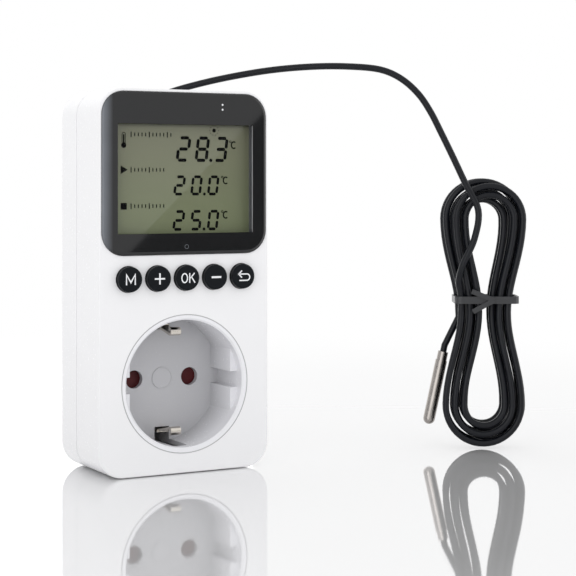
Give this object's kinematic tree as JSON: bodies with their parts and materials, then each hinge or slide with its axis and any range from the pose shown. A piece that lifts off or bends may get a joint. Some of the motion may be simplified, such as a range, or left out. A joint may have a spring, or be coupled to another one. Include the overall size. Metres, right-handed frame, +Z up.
{
  "type": "plug-in temperature controller",
  "caption": "Plug-in temperature controller: upright case with a display window, a row of keys, an earthed socket in front, an earthed plug behind and a corded sensor probe.",
  "frame": {"origin": "centre of the bounding box's base without the free cord: middle of the case across X, midway from the key tops to the plug pin tips along Y, and the base on z = 0", "axes": "+Z up the case, +X across it to the right seen from the front, the face, window and socket towards -Y and the plug pins along +Y"},
  "size_m": [0.1513, 0.0884, 0.1282],
  "materials": {
    "white_case": "satin",
    "window": "high gloss",
    "liquid_crystal": "matt glass",
    "white_plastic": "matt",
    "lamp": "clear",
    "rubber_strip": "matt",
    "board": "satin",
    "dark_plastic": "matt",
    "relay_case": "satin",
    "core": "matt",
    "can": "satin",
    "fuse_glass": "gloss",
    "steel": "satin",
    "carrier": "matt",
    "shutter_red": "satin",
    "contact_brass": "satin",
    "nickel": "polished",
    "wire": "satin",
    "cover_rubber": "matt",
    "label": "matt",
    "key_black": "satin",
    "cord_rubber": "satin",
    "tie": "gloss",
    "probe_steel": "brushed"
  },
  "bodies": {
    "case": {"front_shell": "white_case", "rear_shell": "white_case", "socket_insert": "white_case", "plug_body": "white_case", "display_window": "window", "lcd_panel": "liquid_crystal", "lcd_frame": "white_plastic", "light_guide": "white_plastic", "sensor_connector": "white_plastic", "indicator_lamps": "lamp", "contact_strip": "rubber_strip", "control_board": "board", "power_board": "board", "control_chip": "dark_plastic", "key_switches": "dark_plastic", "board_link": "dark_plastic", "relay": "relay_case", "transformer": "core", "filter_capacitor": "core", "supply_capacitor": "can", "fuse": "fuse_glass", "board_screws": "steel", "case_screws": "steel", "shutter_spring": "steel", "contact_block": "carrier", "live_contact": "contact_brass", "neutral_contact": "contact_brass", "upper_earth_strip": "nickel", "lower_earth_strip": "nickel", "earth_bridge": "nickel", "live_pin": "nickel", "neutral_pin": "nickel", "supply_wires": "wire", "screw_covers": "cover_rubber", "rating_label": "label", "cord_grommet": "cord_rubber", "inner_lead": "cord_rubber", "sensor_lead": "cord_rubber", "cord_hank": "cord_rubber", "probe_lead": "cord_rubber", "cord_tie": "tie", "sensor_probe": "probe_steel"},
    "shutter": {"shutter": "shutter_red"},
    "key_mode": {"key_mode": "key_black"},
    "key_plus": {"key_plus": "key_black"},
    "key_ok": {"key_ok": "key_black"},
    "key_minus": {"key_minus": "key_black"},
    "key_return": {"key_return": "key_black"}
  },
  "joints": [
    {"name": "key_mode_press", "type": "slide", "parent": "case", "child": "key_mode", "axis": [0, 1, 0], "range_m": [0, 0.0006], "stiffness_N_per_m": 400},
    {"name": "key_plus_press", "type": "slide", "parent": "case", "child": "key_plus", "axis": [0, 1, 0], "range_m": [0, 0.0006], "stiffness_N_per_m": 400},
    {"name": "key_ok_press", "type": "slide", "parent": "case", "child": "key_ok", "axis": [0, 1, 0], "range_m": [0, 0.0006], "stiffness_N_per_m": 400},
    {"name": "key_minus_press", "type": "slide", "parent": "case", "child": "key_minus", "axis": [0, 1, 0], "range_m": [0, 0.0006], "stiffness_N_per_m": 400},
    {"name": "key_return_press", "type": "slide", "parent": "case", "child": "key_return", "axis": [0, 1, 0], "range_m": [0, 0.0006], "stiffness_N_per_m": 400},
    {"name": "shutter_turn", "type": "hinge", "parent": "case", "child": "shutter", "pos_m": [0, -0.01515, 0.0272], "axis": [0, 1, 0], "range_deg": [0, 38], "stiffness_Nm_per_rad": 0.004}
  ]
}
